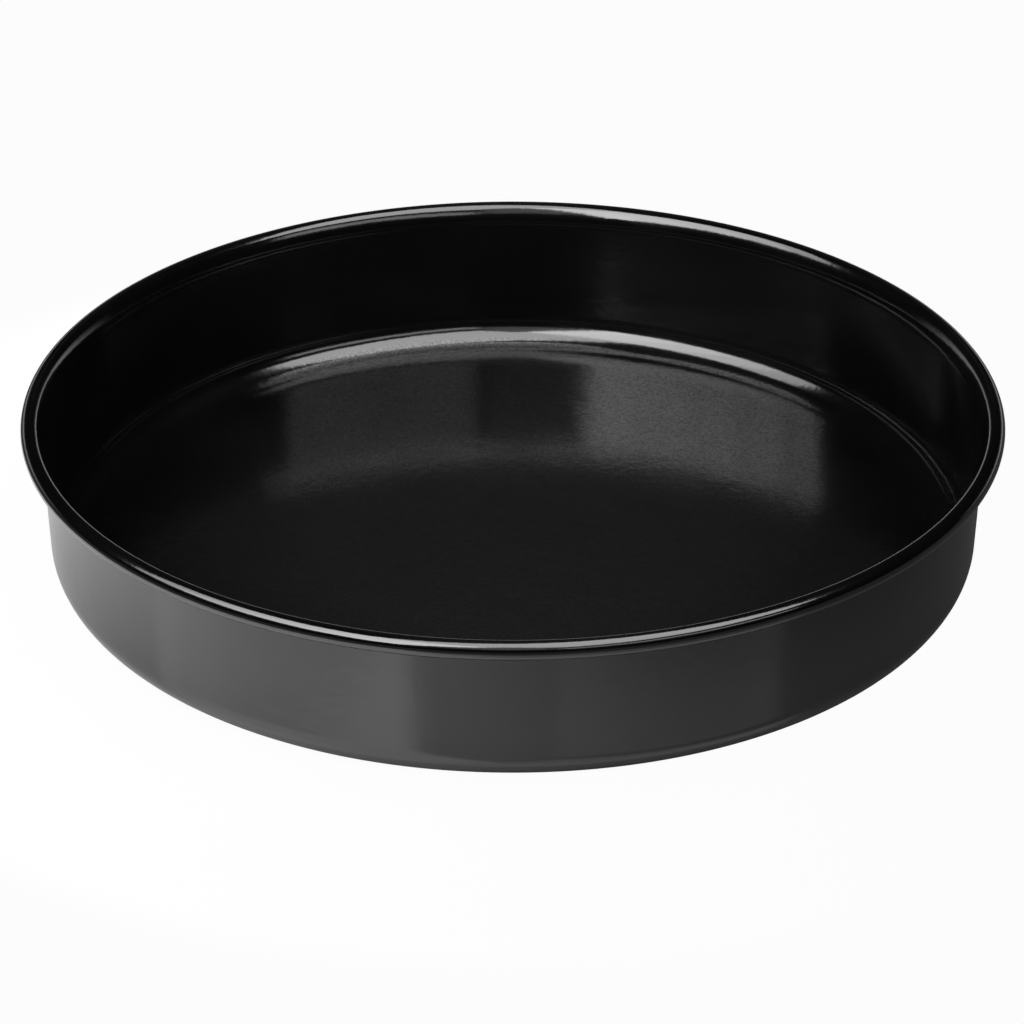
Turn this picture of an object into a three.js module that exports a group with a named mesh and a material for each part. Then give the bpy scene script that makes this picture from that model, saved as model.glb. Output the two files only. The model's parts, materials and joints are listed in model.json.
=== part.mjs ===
// Round baking pan: a pressed steel sheet rolled over a rim wire, with a black glass enamel coat on each face.
// Millimetres, +Z up, the axis of the pan on Z, the underside of the base on Z = 0.

import * as THREE from 'three';

// Overall sizes
const RIM_DIAMETER = 300;
const PAN_HEIGHT = 49.7;

// Sheet, its coats, and the hairlines that part them from it and the rim wire from the roll
const SHEET = 0.7;
const ENAMEL = 0.2;
const BOND_LINE = 0.01;
const WIRE_CLEARANCE = 0.05;

// Inside form of the pan
const FLOOR_FILLET = 9;
const WALL_DRAFT_DEGREES = 2;

// Rolled rim: its finished thickness, how far it stands clear of the wall's inside face,
// how far the flared sheet has turned outward where the roll begins,
// and how far the roll's edge stands clear of the wall's outside face below the flare
const BEAD_DIAMETER = 5.7;
const BEAD_OFFSET = 1.5;
const ROLL_START_DEGREES = 33;
const CURL_GAP = 1.5;

// The outside coat runs up behind the rim until the sheet has turned this far
const COAT_END_DEGREES = 24;

// Fineness of the facets
const SEGMENTS_AROUND = 64;
const FILLET_STEPS = 4;
const FLARE_STEPS = 3;
const ROLL_STEPS_PER_TURN = 12;
const WIRE_CLOSING_STEPS = 4;

// Depths below the inside surface at which the layers of the wall change
const WALL = ENAMEL + SHEET + ENAMEL;
const INSIDE_SURFACE = 0;
const INSIDE_COAT_BACK = ENAMEL - BOND_LINE;
const STEEL_INSIDE = ENAMEL;
const STEEL_OUTSIDE = ENAMEL + SHEET;
const OUTSIDE_COAT_BACK = STEEL_OUTSIDE + BOND_LINE;
const OUTSIDE_SURFACE = WALL;
const WIRE_SURFACE = STEEL_OUTSIDE + WIRE_CLEARANCE;

// Colours and finishes
const ENAMEL_FINISH = { color: 0x0b0b0c, roughness: 0.12, metalness: 0 };
const STEEL_FINISH = { color: 0x85878a, roughness: 0.45, metalness: 1 };
const WIRE_FINISH = { color: 0x9a9c9f, roughness: 0.35, metalness: 1 };

// An arc of the inside surface. Going deeper into the wall makes a hollow arc wider and a bulging arc tighter.
function arc(centre, radius, bulging, startAngle, endAngle, steps) {
  return { centre, radius, bulging, startAngle, endAngle, steps };
}

// Points of an arc at a depth below the inside surface, from its start to its end.
function arcPoints({ centre, radius, bulging, startAngle, endAngle, steps }, depth) {
  const depthRadius = bulging ? radius - depth : radius + depth;
  const points = [];
  for (let step = 0; step <= steps; step += 1) {
    const angle = startAngle + ((endAngle - startAngle) * step) / steps;
    const r = centre.x + depthRadius * Math.cos(angle);
    const z = centre.y + depthRadius * Math.sin(angle);
    points.push(new THREE.Vector2(r, z));
  }
  return points;
}

// The round stretches of the pan's section, worked out from the driving sizes.
// Straight floor and wall run between them.
function panSection() {
  const draft = THREE.MathUtils.degToRad(WALL_DRAFT_DEGREES);
  const rollStart = THREE.MathUtils.degToRad(ROLL_START_DEGREES);
  const coatEnd = THREE.MathUtils.degToRad(COAT_END_DEGREES);

  // Rim bead, at the top and outer edge of the pan
  const beadRadius = BEAD_DIAMETER / 2;
  const beadCentre = new THREE.Vector2(RIM_DIAMETER / 2 - beadRadius, PAN_HEIGHT - beadRadius);

  // Flare that leads the top of the wall out into the bead without a corner
  const wallTopRadius = beadCentre.x - beadRadius - BEAD_OFFSET;
  const flareReach = beadCentre.x - beadRadius * Math.cos(rollStart) - wallTopRadius;
  const flareRadius = flareReach / (Math.cos(draft) - Math.cos(rollStart));
  const flareCentre = new THREE.Vector2(
    wallTopRadius + flareRadius * Math.cos(draft),
    beadCentre.y - (flareRadius - beadRadius) * Math.sin(rollStart),
  );
  const wallTopHeight = flareCentre.y + flareRadius * Math.sin(draft);

  // Fillet between the floor and the leaning wall
  const filletHeight = WALL + FLOOR_FILLET;
  const filletLean = (wallTopHeight - filletHeight) * Math.sin(draft) + FLOOR_FILLET;
  const filletCentre = new THREE.Vector2(wallTopRadius - filletLean / Math.cos(draft), filletHeight);

  // The curl stops short of the wall's outside face
  const curlEdgeRadius = wallTopRadius + WALL + CURL_GAP;
  const curlEdgeCosine = Math.max(-1, (curlEdgeRadius - beadCentre.x) / beadRadius);
  const curlEnd = -Math.acos(curlEdgeCosine);

  return {
    fillet: arc(filletCentre, FLOOR_FILLET, false, -Math.PI / 2, -draft, FILLET_STEPS),
    flareBelow: arc(flareCentre, flareRadius, true, Math.PI - draft, Math.PI - coatEnd, FLARE_STEPS),
    flareAbove: arc(flareCentre, flareRadius, true, Math.PI - coatEnd, Math.PI - rollStart, FLARE_STEPS),
    roll: rollArcs(beadCentre, beadRadius, Math.PI - rollStart, curlEnd),
  };
}

// The roll in three arcs that meet at the rim's highest and widest points, so that its facets reach both.
function rollArcs(centre, radius, startAngle, endAngle) {
  const corners = [startAngle, Math.PI / 2, 0, endAngle];
  const arcs = [];
  for (let corner = 1; corner < corners.length; corner += 1) {
    const from = corners[corner - 1];
    const to = corners[corner];
    const steps = Math.ceil((ROLL_STEPS_PER_TURN * Math.abs(to - from)) / (2 * Math.PI));
    arcs.push(arc(centre, radius, true, from, to, steps));
  }
  return arcs;
}

// Neighbouring stretches share an end point, which is kept once.
const SAME_POINT = 1e-6;

// The points of several stretches in a row, at a depth.
function joinedPoints(stretches, depth) {
  const line = [];
  for (const stretch of stretches) {
    for (const point of arcPoints(stretch, depth)) {
      const last = line[line.length - 1];
      if (!last || last.distanceTo(point) > SAME_POINT) {
        line.push(point);
      }
    }
  }
  return line;
}

// The section at a depth, from the axis out to the end of the last stretch named.
function sectionLine(stretches, depth) {
  return [new THREE.Vector2(0, WALL - depth), ...joinedPoints(stretches, depth)];
}

// A layer of the wall between two depths, as a closed profile that starts and ends on the axis.
function layerProfile(stretches, outerDepth, innerDepth) {
  const outside = sectionLine(stretches, outerDepth);
  const inside = sectionLine(stretches, innerDepth);
  return [...outside, ...inside.reverse()];
}

// The wire's round section. It lies against the inside of the roll and closes across the slot.
function wireProfile(roll) {
  const first = roll[0];
  const last = roll[roll.length - 1];
  const fullTurn = first.startAngle - 2 * Math.PI;
  const acrossSlot = arc(last.centre, last.radius, true, last.endAngle, fullTurn, WIRE_CLOSING_STEPS);
  const around = joinedPoints([...roll, acrossSlot], WIRE_SURFACE).slice(0, -1);
  return [...around, around[0]].reverse();
}

// Turns a profile of (radius, height) points into a solid of revolution standing on the XY plane.
function turned(name, profile, finish) {
  const geometry = new THREE.LatheGeometry(profile, SEGMENTS_AROUND);
  geometry.rotateX(Math.PI / 2);
  const mesh = new THREE.Mesh(geometry, new THREE.MeshStandardMaterial(finish));
  mesh.name = name;
  return mesh;
}

function roundBakingPan() {
  const { fillet, flareBelow, flareAbove, roll } = panSection();
  const wholeSheet = [fillet, flareBelow, flareAbove, ...roll];
  const upToRim = [fillet, flareBelow];

  const pan = new THREE.Group();
  pan.add(turned('steel_pressing', layerProfile(wholeSheet, STEEL_OUTSIDE, STEEL_INSIDE), STEEL_FINISH));
  pan.add(turned('rim_wire', wireProfile(roll), WIRE_FINISH));
  pan.add(turned('inside_enamel', layerProfile(wholeSheet, INSIDE_COAT_BACK, INSIDE_SURFACE), ENAMEL_FINISH));
  pan.add(turned('outside_enamel', layerProfile(upToRim, OUTSIDE_SURFACE, OUTSIDE_COAT_BACK), ENAMEL_FINISH));
  return pan;
}

export default roundBakingPan();
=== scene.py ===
"""Round baking pan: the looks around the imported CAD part, laid out as a Blender add-on.

The pan is one steel pressing with its edge rolled over a wire and a coat of black enamel on each face.
Each layer is drawn as half of the pan's section, spun round the axis of the pan and given its thickness.
Lengths are metres, +Z is up, the axis of the pan is Z, and the base stands on Z = 0.
"""

import json
import math
from collections import namedtuple

import bpy
from mathutils import Matrix, Vector


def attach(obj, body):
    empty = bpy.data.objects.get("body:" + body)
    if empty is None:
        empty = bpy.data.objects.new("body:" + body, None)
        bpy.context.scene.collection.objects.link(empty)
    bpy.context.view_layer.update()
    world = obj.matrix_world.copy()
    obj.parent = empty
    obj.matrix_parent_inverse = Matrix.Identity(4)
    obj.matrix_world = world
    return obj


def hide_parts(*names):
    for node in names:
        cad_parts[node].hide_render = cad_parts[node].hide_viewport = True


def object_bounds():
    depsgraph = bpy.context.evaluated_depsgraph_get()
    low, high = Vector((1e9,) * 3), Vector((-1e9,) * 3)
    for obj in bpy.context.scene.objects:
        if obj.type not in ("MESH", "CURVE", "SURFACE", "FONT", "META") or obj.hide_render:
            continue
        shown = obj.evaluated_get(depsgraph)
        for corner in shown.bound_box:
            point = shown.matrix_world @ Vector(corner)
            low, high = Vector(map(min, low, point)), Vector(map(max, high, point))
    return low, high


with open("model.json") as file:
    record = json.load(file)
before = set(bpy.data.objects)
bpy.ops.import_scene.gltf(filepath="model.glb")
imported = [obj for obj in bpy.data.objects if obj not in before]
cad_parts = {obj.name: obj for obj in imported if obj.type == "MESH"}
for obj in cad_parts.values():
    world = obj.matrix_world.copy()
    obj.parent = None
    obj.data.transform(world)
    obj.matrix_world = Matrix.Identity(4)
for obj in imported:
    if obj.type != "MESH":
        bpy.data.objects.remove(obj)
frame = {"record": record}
cad_low, cad_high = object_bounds()

bl_info = {
    "name": "Round Baking Pan",
    "version": (1, 0, 0),
    "blender": (4, 5, 0),
    "location": "3D View > Sidebar > Baking Pan",
    "description": "Builds a round enamelled baking pan with a rolled rim, and a small studio around it",
    "category": "Object",
}

BODY = "root"
MM = 0.001

RECORD_COLOURS = {row["slot"]: row["base_color"][:3] for row in frame["record"]["materials"]}


def length(label, description, millimetres):
    """A length that the user can change, given in millimetres and kept in metres."""
    return bpy.props.FloatProperty(
        name=label,
        description=description,
        default=millimetres * MM,
        min=0.0,
        precision=5,
        unit="LENGTH",
    )


def angle(label, description, degrees):
    """An angle that the user can change, given in degrees and kept in radians."""
    return bpy.props.FloatProperty(
        name=label,
        description=description,
        default=math.radians(degrees),
        unit="ROTATION",
    )


def colour(label, description, rgb):
    """A colour that the user can change."""
    return bpy.props.FloatVectorProperty(
        name=label,
        description=description,
        default=rgb,
        min=0.0,
        max=1.0,
        subtype="COLOR",
    )


def share(label, description, value):
    """A number from 0 to 1 that the user can change."""
    return bpy.props.FloatProperty(
        name=label,
        description=description,
        default=value,
        min=0.0,
        max=1.0,
        subtype="FACTOR",
    )


class PanSizes(bpy.types.PropertyGroup):
    """Sizes of the pan's section."""

    rim_diameter: length("Rim diameter", "Width over the rolled rim", (cad_high.x - cad_low.x) / MM)
    pan_height: length("Height", "Height from the table to the top of the rim", cad_high.z / MM)
    sheet: length("Sheet", "Gauge of the steel sheet", 0.7)
    enamel: length("Enamel", "Thickness of each coat", 0.2)
    bond_line: length("Bond line", "Hairline between a coat and the steel", 0.01)
    wire_clearance: length("Wire clearance", "Room between the rim wire and the roll", 0.05)
    floor_fillet: length("Floor fillet", "Inside radius where the wall meets the floor", 9.0)
    wall_draft: angle("Wall draft", "Lean of the wall from upright", 2.0)
    bead_diameter: length("Bead diameter", "Thickness of the rolled rim", 5.7)
    bead_offset: length("Bead offset", "How far the bead stands clear of the wall's inside face", 1.5)
    roll_start: angle("Roll start", "How far the sheet has turned outward where the roll begins", 33.0)
    curl_gap: length("Curl gap", "How far the edge of the roll stands off the wall below the flare", 1.5)
    coat_end: angle("Coat end", "How far the sheet has turned where the outside coat ends", 24.0)

    def wall(self):
        """Thickness of the sheet with both coats."""
        return self.enamel + self.sheet + self.enamel

    def coat(self):
        """Thickness of a coat without its bond line."""
        return self.enamel - self.bond_line


class PanFinish(bpy.types.PropertyGroup):
    """Colours and surface of the enamel, the sheet and the wire."""

    enamel_black: colour("Enamel black", "Colour of the darkest enamel", (0.0012, 0.0012, 0.0013))
    enamel_bloom: colour("Enamel bloom", "Colour where the enamel fired lighter", (0.0022, 0.0022, 0.0024))
    # The haze is the floor's own lighter finish; its fade toward the wall is painted shade.
    floor_haze: colour("Floor haze", "Colour of the hazy middle of the floor", (0.005, 0.005, 0.0052))
    sheet_colour: colour("Sheet colour", "Colour of the bare sheet", RECORD_COLOURS["sheet_steel"])
    wire_colour: colour("Wire colour", "Colour of the rim wire", RECORD_COLOURS["wire_steel"])
    gloss_wall: share("Wall roughness", "Roughness of the glossiest enamel", 0.1)
    gloss_floor: share("Floor roughness", "Roughness of the enamel on the floor", 0.12)
    peel_size: length("Orange peel", "Size of the ripples in the enamel", 3.0)
    grain_size: length("Floor grain", "Size of the fine grain on the floor", 0.8)


class PanStudio(bpy.types.PropertyGroup):
    """The board, the table, the room and the camera."""

    # The board's colour is painted light at its left and painted shade at its right; the dark colour also
    # paints shade on the table round the board.
    board_painted_light: colour("Board light", "Colour of the board's left", (0.93, 0.93, 0.93))
    board_painted_shade: colour("Board dark", "Colour of the board's right and of the table", (0.06, 0.06, 0.06))
    board_radius: length("Board radius", "Radius of the polished board that the pan stands on", 222.0)
    board_gloss: share("Board roughness", "Roughness of the board's polish", 0.15)
    room_dim: share("Room", "Brightness of the dim room", 0.006)
    room_strip: share("Room strip", "Brightness of the strip overhead, from back to front", 0.06)
    room_horizon: share("Room horizon", "Brightness of the pale horizon behind the pan", 0.8)
    shadow_share: share("Shadow share", "How much of the shadow shows on the pale ground", 0.03)
    lens: bpy.props.FloatProperty(
        name="Lens",
        description="Focal length of the camera",
        default=140.634,
        min=1.0,
        unit="CAMERA",
    )


# Fineness of the meshes. All the layers share it, so that their facets lie parallel.
STEPS_AROUND = 256
FILLET_STEPS = 16
FLARE_STEPS = 8
ROLL_STEPS_PER_TURN = 48

# Straight runs of the section get a ring this close to each end, to stay flat under smooth shading.
SUPPORT = 0.6 * MM

# Sizes used while drawing
START_SIZE = 1.0 * MM
SAME_PLACE = 0.001 * MM
SMOOTH_ANGLE = math.radians(40)

AXIS_ROUND_PAN = (0, 0, 1)
AXIS_ACROSS_SECTION = (0, 1, 0)

# A round stretch of the inside surface in the section: x is the radius and y the height of its centre.
Stretch = namedtuple("Stretch", "centre radius bulging start end steps")


def point_of(stretch, depth, angle_round):
    """A point of a stretch at a depth below the inside surface."""
    radius = stretch.radius - depth if stretch.bulging else stretch.radius + depth
    x = stretch.centre.x + radius * math.cos(angle_round)
    z = stretch.centre.y + radius * math.sin(angle_round)
    return Vector((x, 0, z))


def pan_section(sizes):
    """The round stretches of the section from the floor to the edge of the roll."""
    draft = sizes.wall_draft
    turned = sizes.roll_start

    bead_radius = sizes.bead_diameter / 2
    bead = Vector((sizes.rim_diameter / 2 - bead_radius, sizes.pan_height - bead_radius))

    wall_top_radius = bead.x - bead_radius - sizes.bead_offset
    flare_reach = bead.x - bead_radius * math.cos(turned) - wall_top_radius
    flare_radius = flare_reach / (math.cos(draft) - math.cos(turned))
    flare_x = wall_top_radius + flare_radius * math.cos(draft)
    flare_z = bead.y - (flare_radius - bead_radius) * math.sin(turned)
    flare = Vector((flare_x, flare_z))
    wall_top_height = flare.y + flare_radius * math.sin(draft)

    fillet_height = sizes.wall() + sizes.floor_fillet
    fillet_lean = (wall_top_height - fillet_height) * math.sin(draft) + sizes.floor_fillet
    fillet = Vector((wall_top_radius - fillet_lean / math.cos(draft), fillet_height))

    curl_edge_radius = wall_top_radius + sizes.wall() + sizes.curl_gap
    curl_end = -math.acos(max(-1.0, (curl_edge_radius - bead.x) / bead_radius))

    at_wall = math.pi - draft
    at_coat_end = math.pi - sizes.coat_end
    at_roll = math.pi - turned

    roll = []
    corners = (at_roll, math.pi / 2, 0.0, curl_end)
    for start, end in zip(corners, corners[1:]):
        steps = math.ceil(ROLL_STEPS_PER_TURN * abs(end - start) / math.tau)
        roll.append(Stretch(bead, bead_radius, True, start, end, steps))

    return {
        "fillet": Stretch(fillet, sizes.floor_fillet, False, -math.pi / 2, -draft, FILLET_STEPS),
        "flare_below": Stretch(flare, flare_radius, True, at_wall, at_coat_end, FLARE_STEPS),
        "flare_above": Stretch(flare, flare_radius, True, at_coat_end, at_roll, FLARE_STEPS),
        "roll": roll,
    }


def sheet_stretches(section):
    """All the round stretches that the sheet runs through, from the floor to the edge of its roll."""
    return [section["fillet"], section["flare_below"], section["flare_above"], *section["roll"]]


def wall_stretches(section):
    """The round stretches up to the end of the outside coat, just under the roll."""
    return [section["fillet"], section["flare_below"]]


def start_piece(name):
    """Names the object that a primitive has just made, and goes to edit mode with all of it selected."""
    piece = bpy.context.object
    piece.name = name
    piece.data.name = name
    bpy.context.tool_settings.mesh_select_mode = (True, False, False)
    bpy.ops.object.mode_set(mode="EDIT")
    bpy.ops.mesh.select_all(action="SELECT")
    return piece


def start_on_axis(name, height):
    """A new piece that is one vertex on the axis of the pan, selected and ready to be extruded."""
    bpy.ops.object.select_all(action="DESELECT")
    bpy.ops.mesh.primitive_plane_add(size=START_SIZE, location=(0, 0, 0))
    piece = start_piece(name)
    bpy.ops.mesh.merge(type="CENTER")
    bpy.ops.transform.translate(value=(0, 0, height))
    return piece


def extrude_by(step):
    """Extrudes the vertex at the end of the line."""
    bpy.ops.mesh.extrude_region_move(TRANSFORM_OT_translate={"value": step})


def extrude_straight(start, end):
    """Draws a straight run with a supporting point close to each end."""
    run = end - start
    if run.length < SAME_PLACE:
        return
    support = run.normalized() * min(SUPPORT, run.length / 4)
    extrude_by(support)
    extrude_by(run - 2 * support)
    extrude_by(support)


def draw_section(name, stretches, depth, sizes):
    """Draws a layer's face as one line of vertices in the XZ plane, from the axis outward."""
    here = Vector((0, 0, sizes.wall() - depth))
    piece = start_on_axis(name, here.z)
    for stretch in stretches:
        extrude_straight(here, point_of(stretch, depth, stretch.start))
        bpy.ops.mesh.spin(
            steps=stretch.steps,
            angle=stretch.end - stretch.start,
            center=(stretch.centre.x, 0, stretch.centre.y),
            axis=AXIS_ACROSS_SECTION,
        )
        here = point_of(stretch, depth, stretch.end)
    return piece


def spin_round_axis():
    """Spins the drawn line into a closed surface of revolution and merges its seam and its pole."""
    bpy.ops.mesh.select_all(action="SELECT")
    bpy.ops.mesh.spin(steps=STEPS_AROUND, angle=math.tau, center=(0, 0, 0), axis=AXIS_ROUND_PAN)
    bpy.ops.mesh.select_all(action="SELECT")
    bpy.ops.mesh.remove_doubles(threshold=SAME_PLACE)
    bpy.ops.mesh.normals_make_consistent(inside=False)


def face_floor(piece, upward):
    """Turns the whole surface so that its floor looks up, or down."""
    bpy.ops.object.mode_set(mode="OBJECT")
    floor_face = min(piece.data.polygons, key=lambda face: face.center.xy.length)
    if (floor_face.normal.z > 0) != upward:
        bpy.ops.object.mode_set(mode="EDIT")
        bpy.ops.mesh.select_all(action="SELECT")
        bpy.ops.mesh.flip_normals()
        bpy.ops.object.mode_set(mode="OBJECT")


def thicken(piece, thickness):
    """Gives the surface its thickness, behind its face."""
    solidify = piece.modifiers.new("thickness", "SOLIDIFY")
    solidify.thickness = thickness
    solidify.offset = -1
    solidify.use_even_offset = True
    solidify.use_quality_normals = True
    bpy.ops.object.modifier_apply(modifier=solidify.name)


def finish_mesh(piece):
    """Smooths the round stretches, keeps the edges crisp, and makes sure that the solid is closed."""
    bpy.ops.object.shade_smooth_by_angle(angle=SMOOTH_ANGLE)
    faces_at_edge = {}
    for face in piece.data.polygons:
        for key in face.edge_keys:
            faces_at_edge[key] = faces_at_edge.get(key, 0) + 1
    if any(count != 2 for count in faces_at_edge.values()):
        raise RuntimeError(f"{piece.name} isn't a closed solid")


def fit_piece(piece, node, material):
    """Gives a finished piece its material and its place in the frame."""
    piece.data.materials.clear()
    piece.data.materials.append(material)
    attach(piece, BODY)
    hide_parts(node)


def layer(name, stretches, depth, thickness, sizes, upward):
    """One layer of the pan, drawn at a depth below the inside surface and thickened behind its face."""
    piece = draw_section(name, stretches, depth, sizes)
    spin_round_axis()
    face_floor(piece, upward)
    thicken(piece, thickness)
    finish_mesh(piece)
    return piece


def empty_tree(owner):
    """The node tree of a material or a world, with nothing in it."""
    owner.use_nodes = True
    owner.node_tree.nodes.clear()
    return owner.node_tree


def new_material(name):
    """A new material with its shader joined to its output."""
    material = bpy.data.materials.new(name)
    tree = empty_tree(material)
    output = tree.nodes.new("ShaderNodeOutputMaterial")
    shader = tree.nodes.new("ShaderNodeBsdfPrincipled")
    tree.links.new(shader.outputs["BSDF"], output.inputs["Surface"])
    return material, tree, shader


def add_place(tree):
    """The place on the object, measured from its origin."""
    return tree.nodes.new("ShaderNodeTexCoord").outputs["Object"]


def add_noise(tree, vector, size, detail):
    """A noise whose blotches are about as large as the given size."""
    noise = tree.nodes.new("ShaderNodeTexNoise")
    noise.inputs["Scale"].default_value = 1 / size
    noise.inputs["Detail"].default_value = detail
    tree.links.new(vector, noise.inputs["Vector"])
    return noise.outputs["Fac"]


def add_range(tree, value, from_range, to_range):
    """A value stretched from one range to another, and held at its ends."""
    stretch = tree.nodes.new("ShaderNodeMapRange")
    stretch.inputs["From Min"].default_value, stretch.inputs["From Max"].default_value = from_range
    stretch.inputs["To Min"].default_value, stretch.inputs["To Max"].default_value = to_range
    tree.links.new(value, stretch.inputs["Value"])
    return stretch.outputs["Result"]


def add_math(tree, operation, first, second):
    """A sum, a product or another operation on a socket and a socket or a number."""
    node = tree.nodes.new("ShaderNodeMath")
    node.operation = operation
    for value, socket in zip((first, second), node.inputs):
        if isinstance(value, (int, float)):
            socket.default_value = value
        else:
            tree.links.new(value, socket)
    return node.outputs["Value"]


def add_length(tree, vector):
    """The length of a vector, which is the distance from the object's origin for a place on it."""
    node = tree.nodes.new("ShaderNodeVectorMath")
    node.operation = "LENGTH"
    tree.links.new(vector, node.inputs[0])
    return node.outputs["Value"]


def add_colour_mix(tree, factor, low, high):
    """A colour that goes from one to the other with the factor. Each is a socket or a colour."""
    mix = tree.nodes.new("ShaderNodeMix")
    mix.data_type = "RGBA"
    for end, name in ((low, "A"), (high, "B")):
        if isinstance(end, bpy.types.NodeSocket):
            tree.links.new(end, mix.inputs[name])
        else:
            mix.inputs[name].default_value = (*end, 1)
    tree.links.new(factor, mix.inputs["Factor"])
    return mix.outputs["Result"]


def add_bump(tree, height, distance, under=None):
    """A bump of the given height in metres, on top of another bump."""
    bump = tree.nodes.new("ShaderNodeBump")
    bump.inputs["Strength"].default_value = 1.0
    bump.inputs["Distance"].default_value = distance
    tree.links.new(height, bump.inputs["Height"])
    if under is not None:
        tree.links.new(under, bump.inputs["Normal"])
    return bump.outputs["Normal"]


def add_split(tree, vector):
    """The three numbers of a vector, by their names X, Y and Z."""
    split = tree.nodes.new("ShaderNodeSeparateXYZ")
    tree.links.new(vector, split.inputs["Vector"])
    return split.outputs


def add_shader_mix(tree, factor, low, high):
    """A shader that goes from one to the other with the factor."""
    mix = tree.nodes.new("ShaderNodeMixShader")
    tree.links.new(factor, mix.inputs["Fac"])
    tree.links.new(low, mix.inputs[1])
    tree.links.new(high, mix.inputs[2])
    return mix.outputs["Shader"]


def add_seen(tree, rays):
    """1 for what the camera sees, straight or through glass, and 0 for all other rays."""
    return add_math(tree, "MAXIMUM", rays["Is Camera Ray"], rays["Is Transmission Ray"])


# Most of a noise's values lie between these two.
NOISE_SPREAD = (0.3, 0.7)

# The index is above that of glass enamel, for the strong double reflections between wall and floor.
ENAMEL_IOR = 1.8

# The specular level that leaves the index as it is
PLAIN_SPECULAR = 0.5

# Long waves, orange peel and fine grain in the enamel, and how much the grain glints
WAVE_SIZE = 14 * MM
WAVE_HEIGHT = 0.06 * MM
PEEL_HEIGHT = 0.03 * MM
GRAIN_HEIGHT = 0.02 * MM
GRAIN_GLINT = 0.3

# Lighter blotches and duller smears in the enamel
BLOOM_SIZE = 40 * MM
BLOOM_SPREAD = (0.4, 0.7)
SMEAR_SIZE = 25 * MM
SMEAR_GAIN = 1.5

# The floor's finish fades out over these heights above it.
FLOOR_EDGE = (0.2 * MM, 2.5 * MM)

# The floor's haze fades out over these distances from its middle, which paints shade near the wall at the
# floor's edge.
HAZE_PAINTED_SHADE_FADE = (60 * MM, 125 * MM)

# Matt grain and scale on the bare sheet
SHEET_GRAIN_SIZE = 0.4 * MM
SHEET_GRAIN_HEIGHT = 0.01 * MM
SHEET_SCALE_SIZE = 12 * MM
SHEET_DARK = 0.6
SHEET_ROUGHNESS = (0.35, 0.55)

# Die lines on the wire
WIRE_LINE_SIZE = 0.15 * MM
WIRE_LINE_HEIGHT = 0.005 * MM
WIRE_DARK = 0.7
WIRE_ROUGHNESS = (0.25, 0.45)


def black_enamel(name, finish, sizes):
    """Glossy black glass enamel: rippled like orange peel, and hazy and finely grained on the flat base,
    with the haze fading toward the wall as painted shade.
    """
    material, tree, shader = new_material(name)
    place = add_place(tree)
    floor_edge = [sizes.wall() + height for height in FLOOR_EDGE]
    on_floor = add_range(tree, add_split(tree, place)["Z"], floor_edge, (1, 0))

    bloom = add_range(tree, add_noise(tree, place, BLOOM_SIZE, detail=3), BLOOM_SPREAD, (0, 1))
    black = add_colour_mix(tree, bloom, finish.enamel_black, finish.enamel_bloom)
    # The haze fades toward the wall: painted shade near the foot of the wall.
    middle_clear_of_painted_shade = add_range(tree, add_length(tree, place), HAZE_PAINTED_SHADE_FADE, (1, 0))
    haze = add_math(tree, "MULTIPLY", middle_clear_of_painted_shade, on_floor)
    tree.links.new(add_colour_mix(tree, haze, black, finish.floor_haze), shader.inputs["Base Color"])

    smear = add_noise(tree, place, SMEAR_SIZE, detail=4)
    wall_rough = add_range(tree, smear, NOISE_SPREAD, (finish.gloss_wall, finish.gloss_wall * SMEAR_GAIN))
    floor_rough = add_math(tree, "MULTIPLY", on_floor, finish.gloss_floor - finish.gloss_wall)
    tree.links.new(add_math(tree, "ADD", wall_rough, floor_rough), shader.inputs["Roughness"])

    wave = add_bump(tree, add_noise(tree, place, WAVE_SIZE, detail=1), WAVE_HEIGHT)
    peel = add_bump(tree, add_noise(tree, place, finish.peel_size, detail=1), PEEL_HEIGHT, wave)
    grain = add_noise(tree, place, finish.grain_size, detail=2)
    grain_on_floor = add_math(tree, "MULTIPLY", grain, on_floor)
    tree.links.new(add_bump(tree, grain_on_floor, GRAIN_HEIGHT, peel), shader.inputs["Normal"])

    glint = add_range(tree, grain, NOISE_SPREAD, (-GRAIN_GLINT, GRAIN_GLINT))
    glint_on_floor = add_math(tree, "MULTIPLY", glint, on_floor)
    specular = add_math(tree, "ADD", glint_on_floor, PLAIN_SPECULAR)
    tree.links.new(specular, shader.inputs["Specular IOR Level"])
    shader.inputs["IOR"].default_value = ENAMEL_IOR
    return material


def rolled_steel(name, finish):
    """Bare cold-rolled sheet: grey steel with a fine matt grain and faint scale."""
    material, tree, shader = new_material(name)
    place = add_place(tree)
    grain = add_noise(tree, place, SHEET_GRAIN_SIZE, detail=3)
    scale = add_noise(tree, place, SHEET_SCALE_SIZE, detail=4)
    dark = tuple(SHEET_DARK * channel for channel in finish.sheet_colour)
    tree.links.new(add_colour_mix(tree, scale, dark, finish.sheet_colour), shader.inputs["Base Color"])
    tree.links.new(add_range(tree, grain, NOISE_SPREAD, SHEET_ROUGHNESS), shader.inputs["Roughness"])
    tree.links.new(add_bump(tree, grain, SHEET_GRAIN_HEIGHT), shader.inputs["Normal"])
    shader.inputs["Metallic"].default_value = 1.0
    return material


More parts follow.
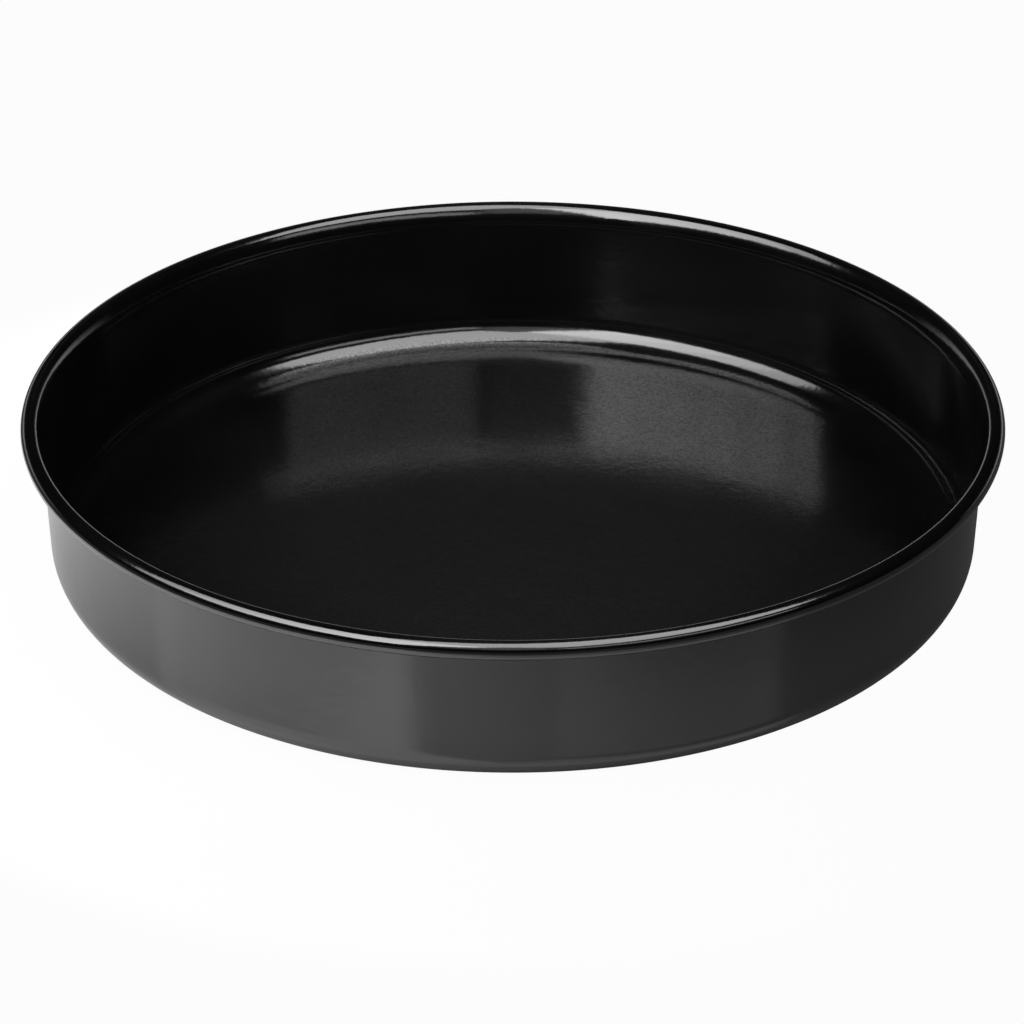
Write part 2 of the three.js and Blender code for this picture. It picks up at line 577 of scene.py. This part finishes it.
def drawn_wire(name, finish):
    """Bright drawn wire: fine die lines that run along the ring."""
    material, tree, shader = new_material(name)
    place = add_split(tree, add_place(tree))
    flat = tree.nodes.new("ShaderNodeCombineXYZ")
    tree.links.new(place["X"], flat.inputs["X"])
    tree.links.new(place["Y"], flat.inputs["Y"])
    across = tree.nodes.new("ShaderNodeCombineXYZ")
    tree.links.new(add_length(tree, flat.outputs["Vector"]), across.inputs["X"])
    tree.links.new(place["Z"], across.inputs["Y"])
    lines = add_noise(tree, across.outputs["Vector"], WIRE_LINE_SIZE, detail=2)
    dark = tuple(WIRE_DARK * channel for channel in finish.wire_colour)
    tree.links.new(add_colour_mix(tree, lines, dark, finish.wire_colour), shader.inputs["Base Color"])
    tree.links.new(add_range(tree, lines, NOISE_SPREAD, WIRE_ROUGHNESS), shader.inputs["Roughness"])
    tree.links.new(add_bump(tree, lines, WIRE_LINE_HEIGHT), shader.inputs["Normal"])
    shader.inputs["Metallic"].default_value = 1.0
    return material


class BAKING_PAN_OT_press_sheet(bpy.types.Operator):
    """Press the steel sheet into floor, foot and wall, and roll its edge into the rim"""

    bl_idname = "baking_pan.press_sheet"
    bl_label = "Press Steel Sheet"

    def execute(self, context):
        sizes = context.scene.pan_sizes
        stretches = sheet_stretches(pan_section(sizes))
        piece = layer("pressed_sheet", stretches, sizes.enamel, sizes.sheet, sizes, upward=True)
        material = rolled_steel("cold_rolled_steel", context.scene.pan_finish)
        fit_piece(piece, "steel_pressing", material)
        return {"FINISHED"}


class BAKING_PAN_OT_ring_wire(bpy.types.Operator):
    """Bend the wire ring that lies inside the rolled rim"""

    bl_idname = "baking_pan.ring_wire"
    bl_label = "Ring Rim Wire"

    def execute(self, context):
        sizes = context.scene.pan_sizes
        bead = pan_section(sizes)["roll"][0]
        wire_radius = bead.radius - sizes.enamel - sizes.sheet - sizes.wire_clearance
        bpy.ops.object.select_all(action="DESELECT")
        bpy.ops.mesh.primitive_circle_add(
            vertices=ROLL_STEPS_PER_TURN,
            radius=wire_radius,
            location=(bead.centre.x, 0, bead.centre.y),
            rotation=(math.pi / 2, 0, 0),
        )
        bpy.ops.object.transform_apply(location=True, rotation=True, scale=True)
        piece = start_piece("rim_wire_ring")
        spin_round_axis()
        bpy.ops.object.mode_set(mode="OBJECT")
        finish_mesh(piece)
        material = drawn_wire("drawn_wire", context.scene.pan_finish)
        fit_piece(piece, "rim_wire", material)
        return {"FINISHED"}


class BAKING_PAN_OT_coat_inside(bpy.types.Operator):
    """Coat the floor, the inside of the wall and the whole roll of the rim with black enamel"""

    bl_idname = "baking_pan.coat_inside"
    bl_label = "Coat Inside"

    def execute(self, context):
        sizes = context.scene.pan_sizes
        stretches = sheet_stretches(pan_section(sizes))
        piece = layer("inside_coat", stretches, 0.0, sizes.coat(), sizes, upward=True)
        material = black_enamel("inside_black_enamel", context.scene.pan_finish, sizes)
        fit_piece(piece, "inside_enamel", material)
        return {"FINISHED"}


class BAKING_PAN_OT_coat_outside(bpy.types.Operator):
    """Coat the base and the outside of the wall with black enamel"""

    bl_idname = "baking_pan.coat_outside"
    bl_label = "Coat Outside"

    def execute(self, context):
        sizes = context.scene.pan_sizes
        stretches = wall_stretches(pan_section(sizes))
        piece = layer("outside_coat", stretches, sizes.wall(), sizes.coat(), sizes, upward=False)
        material = black_enamel("outside_black_enamel", context.scene.pan_finish, sizes)
        fit_piece(piece, "outside_enamel", material)
        return {"FINISHED"}


# A softbox that leans toward the pan: the side it stands on, the places of its lower and upper edges as
# (distance from the pan's axis, height), its width, and how bright each of its upright panels is, from its
# left as seen from behind it.
# Azimuth 0 is behind the pan and 90 is to its right. A distance below 0 lies past the axis.
Softbox = namedtuple("Softbox", "name azimuth lower_edge upper_edge width panels")

SOFTBOXES = (
    Softbox("softbox_left", -122, (1.00, 0.61), (0.45, 1.15), 1.30, (2.3, 3.4, 4.2, 4.8, 5.2)),
    Softbox("softbox_right", 133, (0.72, 0.90), (-0.12, 1.25), 1.00, (2.9,)),
    Softbox("fill_right", 142, (1.20, 0.72), (1.08, 0.90), 1.20, (1.25,)),
    Softbox("fill_front", 184, (1.20, 0.72), (0.90, 1.12), 0.45, (0.4,)),
)

# Watts for each square metre of a panel of brightness 1. Its face then shines at 4 / pi.
WATTS_PER_BRIGHT_AREA = 4.0

# The table's width, and how far it lies below the pan
TABLE_SIZE = 9.0
TABLE_GAP = 0.2 * MM

# The polished board on the table darkens from left to right between two places on X: painted light at its
# left and painted shade at its right, for the fall of the light from the left and the pan's shadow.
BOARD_PAINTED_LIGHT_SIDE = (-200 * MM, 185 * MM)
BOARD_PAINTED_SHADE_FADE = 1.6
BOARD_EDGE_BLUR = 15 * MM
BOARD_IOR = 1.7

# The white that the camera sees round the pan, and how much of it glossy surfaces see
WHITE = (1, 1, 1, 1)
PALE_GROUND = 1.0
GROUND_IN_GLOSS = 0.03

# Where the light of the room begins and ends, in parts of a unit direction: the strip on X and on Z, and
# the pale horizon on Z and on Y
STRIP_HALF_WIDTH = 0.16
STRIP_RISE = (0.45, 0.52)
HORIZON_RISE = (0.06, 0.2)
HORIZON_SIDES = (0.4, 0.7)

# The camera's place in metres and its turn in degrees, fitted to the photo
CAMERA_PLACE = (0.0, -1.09272, 0.60221)
CAMERA_TURN = (61.5526, 0.0, 0.0125)
SENSOR_WIDTH = 36.0


def add_softbox(softbox):
    """Hangs one softbox between its two edges, with its face to the pan."""
    azimuth = math.radians(softbox.azimuth)
    outward = Vector((math.sin(azimuth), math.cos(azimuth), 0))
    lower = outward * softbox.lower_edge[0] + Vector((0, 0, softbox.lower_edge[1]))
    upper = outward * softbox.upper_edge[0] + Vector((0, 0, softbox.upper_edge[1]))
    slope = (upper - lower).normalized()
    sideways = Vector((-outward.y, outward.x, 0))
    away = sideways.cross(slope)
    turn = Matrix((sideways, slope, away)).transposed().to_euler()
    panel_width = softbox.width / len(softbox.panels)
    panel_height = (upper - lower).length
    for number, brightness in enumerate(softbox.panels):
        from_middle = (number + 0.5) * panel_width - softbox.width / 2
        middle = (lower + upper) / 2 + sideways * from_middle
        bpy.ops.object.light_add(type="AREA", location=middle, rotation=turn)
        lamp = bpy.context.object
        lamp.name = f"{softbox.name}_{number + 1}"
        lamp.data.name = lamp.name
        lamp.data.shape = "RECTANGLE"
        lamp.data.size = panel_width
        lamp.data.size_y = panel_height
        lamp.data.energy = brightness * panel_width * panel_height * WATTS_PER_BRIGHT_AREA
        lamp.visible_camera = False


def table_material(studio):
    """A polished board with painted light at its left and painted shade at its right, on a table painted
    dark as shade. The camera sees white with a faint shadow.
    """
    material = bpy.data.materials.new("white_table")
    tree = empty_tree(material)
    output = tree.nodes.new("ShaderNodeOutputMaterial")
    place = add_place(tree)

    board = tree.nodes.new("ShaderNodeBsdfPrincipled")
    board.inputs["Roughness"].default_value = studio.board_gloss
    board.inputs["IOR"].default_value = BOARD_IOR
    toward_left = add_range(tree, add_split(tree, place)["X"], BOARD_PAINTED_LIGHT_SIDE, (1, 0))
    painted_light_side = add_math(tree, "POWER", toward_left, BOARD_PAINTED_SHADE_FADE)
    painted_board_colour = add_colour_mix(tree, painted_light_side, studio.board_painted_shade, studio.board_painted_light)
    tree.links.new(painted_board_colour, board.inputs["Base Color"])

    # The dark table round the board is painted shade, where the softboxes' light falls off.
    around = tree.nodes.new("ShaderNodeBsdfDiffuse")
    around.inputs["Color"].default_value = (*studio.board_painted_shade, 1)
    board_edge = (studio.board_radius, studio.board_radius + BOARD_EDGE_BLUR)
    on_board = add_range(tree, add_length(tree, place), board_edge, (1, 0))
    ground = add_shader_mix(tree, on_board, around.outputs["BSDF"], board.outputs["BSDF"])

    pale = tree.nodes.new("ShaderNodeEmission")
    pale.inputs["Strength"].default_value = PALE_GROUND
    rays = tree.nodes.new("ShaderNodeLightPath").outputs
    seen_share = add_math(tree, "MULTIPLY", add_seen(tree, rays), 1 - studio.shadow_share)
    gloss_share = add_math(tree, "MULTIPLY", rays["Is Glossy Ray"], GROUND_IN_GLOSS)
    pale_share = add_math(tree, "MAXIMUM", seen_share, gloss_share)
    surface = add_shader_mix(tree, pale_share, ground, pale.outputs["Emission"])
    tree.links.new(surface, output.inputs["Surface"])
    return material


def add_table(studio):
    """The table with the board, just under the pan."""
    bpy.ops.object.select_all(action="DESELECT")
    bpy.ops.mesh.primitive_plane_add(size=TABLE_SIZE, location=(0, 0, 0))
    table = start_piece("table")
    bpy.ops.transform.translate(value=(0, 0, -TABLE_GAP))
    bpy.ops.object.mode_set(mode="OBJECT")
    table.data.materials.append(table_material(studio))


def add_room(studio):
    """A dim room with a strip of light overhead and a pale horizon behind. The camera sees it white."""
    world = bpy.context.scene.world or bpy.data.worlds.new("room")
    bpy.context.scene.world = world
    tree = empty_tree(world)
    output = tree.nodes.new("ShaderNodeOutputWorld")
    direction = add_split(tree, tree.nodes.new("ShaderNodeTexCoord").outputs["Generated"])

    sideways = add_math(tree, "ABSOLUTE", direction["X"], 0.0)
    middle = add_range(tree, sideways, (0.0, STRIP_HALF_WIDTH), (1, 0))
    overhead = add_range(tree, direction["Z"], STRIP_RISE, (0, 1))
    strip = add_math(tree, "MULTIPLY", middle, overhead)
    dim_light = add_range(tree, strip, (0, 1), (studio.room_dim, studio.room_strip))
    low = add_range(tree, direction["Z"], HORIZON_RISE, (studio.room_horizon, 0))
    behind = add_range(tree, direction["Y"], HORIZON_SIDES, (0, 1))
    horizon = add_math(tree, "MULTIPLY", low, behind)
    dim = tree.nodes.new("ShaderNodeBackground")
    dim.inputs["Color"].default_value = WHITE
    tree.links.new(add_math(tree, "MAXIMUM", dim_light, horizon), dim.inputs["Strength"])

    pale = tree.nodes.new("ShaderNodeBackground")
    pale.inputs["Color"].default_value = WHITE
    pale.inputs["Strength"].default_value = PALE_GROUND
    seen = add_seen(tree, tree.nodes.new("ShaderNodeLightPath").outputs)
    surface = add_shader_mix(tree, seen, dim.outputs["Background"], pale.outputs["Background"])
    tree.links.new(surface, output.inputs["Surface"])


def add_camera(studio):
    """The camera, in front of the pan and above it, looking down into it."""
    turn = [math.radians(degrees) for degrees in CAMERA_TURN]
    bpy.ops.object.camera_add(location=CAMERA_PLACE, rotation=turn)
    camera = bpy.context.object
    camera.name = "camera"
    camera.data.sensor_width = SENSOR_WIDTH
    camera.data.lens = studio.lens
    bpy.context.scene.camera = camera


class BAKING_PAN_OT_set_studio(bpy.types.Operator):
    """Set up the table, the softboxes, the room and the camera"""

    bl_idname = "baking_pan.set_studio"
    bl_label = "Set Up Studio"

    def execute(self, context):
        studio = context.scene.pan_studio
        add_table(studio)
        for softbox in SOFTBOXES:
            add_softbox(softbox)
        add_room(studio)
        add_camera(studio)
        context.scene.view_settings.view_transform = "Standard"
        return {"FINISHED"}


class BAKING_PAN_PT_tools(bpy.types.Panel):
    """Baking pan tools"""

    bl_label = "Round Baking Pan"
    bl_idname = "BAKING_PAN_PT_tools"
    bl_space_type = "VIEW_3D"
    bl_region_type = "UI"
    bl_category = "Baking Pan"

    def draw(self, context):
        for group in (context.scene.pan_sizes, context.scene.pan_finish, context.scene.pan_studio):
            box = self.layout.box()
            for name in group.__annotations__:
                box.prop(group, name)
        for operator in OPERATORS:
            self.layout.operator(operator.bl_idname)


OPERATORS = (
    BAKING_PAN_OT_press_sheet,
    BAKING_PAN_OT_ring_wire,
    BAKING_PAN_OT_coat_inside,
    BAKING_PAN_OT_coat_outside,
    BAKING_PAN_OT_set_studio,
)

PROPERTY_GROUPS = {"pan_sizes": PanSizes, "pan_finish": PanFinish, "pan_studio": PanStudio}


def register():
    """Makes the add-on's properties, operators and panel known to Blender."""
    for name, group in PROPERTY_GROUPS.items():
        bpy.utils.register_class(group)
        setattr(bpy.types.Scene, name, bpy.props.PointerProperty(type=group))
    for cls in (*OPERATORS, BAKING_PAN_PT_tools):
        bpy.utils.register_class(cls)


def unregister():
    """Takes them away again."""
    for cls in reversed((*OPERATORS, BAKING_PAN_PT_tools)):
        bpy.utils.unregister_class(cls)
    for name, group in reversed(PROPERTY_GROUPS.items()):
        delattr(bpy.types.Scene, name)
        bpy.utils.unregister_class(group)


def main():
    """Builds the pan and the studio, piece by piece."""
    register()
    bpy.ops.baking_pan.press_sheet()
    bpy.ops.baking_pan.ring_wire()
    bpy.ops.baking_pan.coat_inside()
    bpy.ops.baking_pan.coat_outside()
    bpy.ops.baking_pan.set_studio()


if __name__ == "__main__":
    main()
